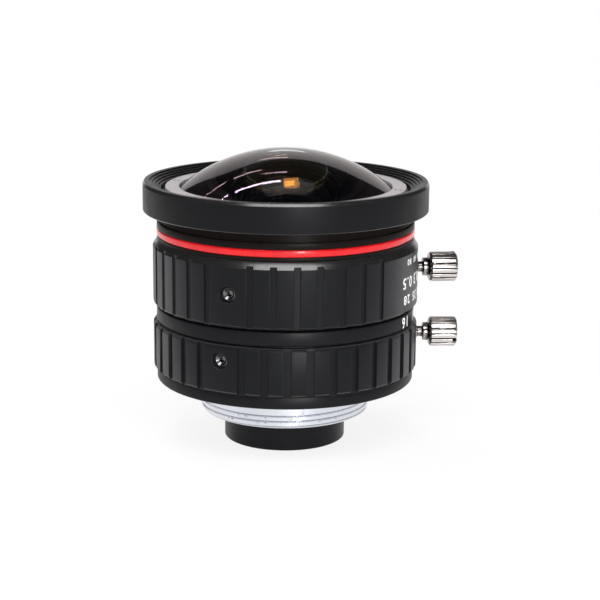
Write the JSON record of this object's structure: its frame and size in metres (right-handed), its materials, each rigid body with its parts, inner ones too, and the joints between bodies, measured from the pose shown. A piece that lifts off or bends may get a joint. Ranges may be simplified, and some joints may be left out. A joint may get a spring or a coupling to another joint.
{
  "type": "c-mount lens",
  "caption": "Wide-angle machine-vision lens: screw camera mount, black anodised barrel, grooved focus and iris rings with locking thumbscrews, red accent ring, domed front glass.",
  "frame": {"origin": "on the optical axis, in the seat that meets the camera, at the root of the mount thread", "axes": "+Z along the optical axis, out through the front glass; +X to the right of the picture, towards the thumbscrews; the picture looks along +Y"},
  "size_m": [0.0475, 0.0428, 0.044],
  "materials": {
    "black_anodised": "black anodised, satin",
    "matt_black": "blackened, matt",
    "grey_anodised": "dark grey anodised, matt",
    "red_accent": "red anodised, glossy",
    "plated_mount": "bright nickel plate on brass",
    "nickel_screw": "nickel plate on brass",
    "pin_brass": "turned",
    "black_steel": "blackened",
    "blade_steel": "blackened, matt",
    "coated_glass": "polished, multi-coated",
    "inner_glass": "polished, coated"
  },
  "bodies": {
    "barrel": {"main_barrel": "black_anodised", "rear_flange": "black_anodised", "flange_screws": "black_steel", "mount_ring": "plated_mount", "rear_cell": "black_anodised", "rear_first_glass": "inner_glass", "rear_upper_spacer": "matt_black", "rear_crown_glass": "inner_glass", "rear_flint_glass": "inner_glass", "rear_lower_spacer": "matt_black", "rear_last_glass": "coated_glass", "rear_retaining_ring": "matt_black", "iris_base_plate": "matt_black", "focus_stop_ring": "matt_black"},
    "front_group": {"front_barrel": "black_anodised", "front_bell": "black_anodised", "accent_ring": "red_accent", "front_retaining_ring": "grey_anodised", "front_glass": "coated_glass", "second_glass": "inner_glass", "inner_retaining_ring": "matt_black", "third_glass": "inner_glass", "front_spacer": "matt_black", "fourth_glass": "inner_glass", "middle_spacer": "matt_black", "cam_pins": "pin_brass"},
    "focus_grip": {"focus_ring": "black_anodised", "focus_grub_screws": "black_steel"},
    "focus_lock": {"focus_lock_screw": "nickel_screw"},
    "iris_grip": {"iris_ring": "black_anodised", "iris_grub_screws": "black_steel", "iris_drive_pin": "pin_brass", "iris_drive_ring": "pin_brass"},
    "iris_lock": {"iris_lock_screw": "nickel_screw"},
    "blade_1": {"iris_blade_1": "blade_steel"},
    "blade_2": {"iris_blade_2": "blade_steel"},
    "blade_3": {"iris_blade_3": "blade_steel"},
    "blade_4": {"iris_blade_4": "blade_steel"},
    "blade_5": {"iris_blade_5": "blade_steel"},
    "blade_6": {"iris_blade_6": "blade_steel"}
  },
  "joints": [
    {"name": "focus_turn", "type": "hinge", "parent": "barrel", "child": "focus_grip", "pos_m": [0, 0, 0.01742], "axis": [0, 0, 1], "range_deg": [0, 90]},
    {"name": "focus_travel", "type": "slide", "parent": "barrel", "child": "front_group", "axis": [0, 0, 1], "range_m": [0, 0.0005]},
    {"name": "focus_lock_turn", "type": "hinge", "parent": "focus_grip", "child": "focus_lock", "pos_m": [0.02339, 0.00229, 0.01735], "axis": [0.9952, 0.0976, 0], "range_deg": [0, 180]},
    {"name": "iris_turn", "type": "hinge", "parent": "barrel", "child": "iris_grip", "pos_m": [0, 0, 0.00625], "axis": [0, 0, 1], "range_deg": [0, 60]},
    {"name": "iris_lock_turn", "type": "hinge", "parent": "iris_grip", "child": "iris_lock", "pos_m": [0.02349, 0.00078, 0.00758], "axis": [0.9995, 0.0332, 0], "range_deg": [0, 180]},
    {"name": "blade_1_swing", "type": "hinge", "parent": "barrel", "child": "blade_1", "pos_m": [0.0118, 0, 0.0075], "axis": [0, 0, 1], "range_deg": [0, 18]},
    {"name": "blade_2_swing", "type": "hinge", "parent": "barrel", "child": "blade_2", "pos_m": [0.0059, 0.01022, 0.0075], "axis": [0, 0, 1], "range_deg": [0, 18]},
    {"name": "blade_3_swing", "type": "hinge", "parent": "barrel", "child": "blade_3", "pos_m": [-0.0059, 0.01022, 0.0075], "axis": [0, 0, 1], "range_deg": [0, 18]},
    {"name": "blade_4_swing", "type": "hinge", "parent": "barrel", "child": "blade_4", "pos_m": [-0.0118, 0, 0.0075], "axis": [0, 0, 1], "range_deg": [0, 18]},
    {"name": "blade_5_swing", "type": "hinge", "parent": "barrel", "child": "blade_5", "pos_m": [-0.0059, -0.01022, 0.0075], "axis": [0, 0, 1], "range_deg": [0, 18]},
    {"name": "blade_6_swing", "type": "hinge", "parent": "barrel", "child": "blade_6", "pos_m": [0.0059, -0.01022, 0.0075], "axis": [0, 0, 1], "range_deg": [0, 18]}
  ],
  "couplings": [
    {"joint": "focus_turn", "follows": "focus_travel", "rad_per_m": 3141.6},
    {"joint": "blade_1_swing", "follows": "iris_turn", "ratio": 0.3},
    {"joint": "blade_2_swing", "follows": "iris_turn", "ratio": 0.3},
    {"joint": "blade_3_swing", "follows": "iris_turn", "ratio": 0.3},
    {"joint": "blade_4_swing", "follows": "iris_turn", "ratio": 0.3},
    {"joint": "blade_5_swing", "follows": "iris_turn", "ratio": 0.3},
    {"joint": "blade_6_swing", "follows": "iris_turn", "ratio": 0.3}
  ]
}
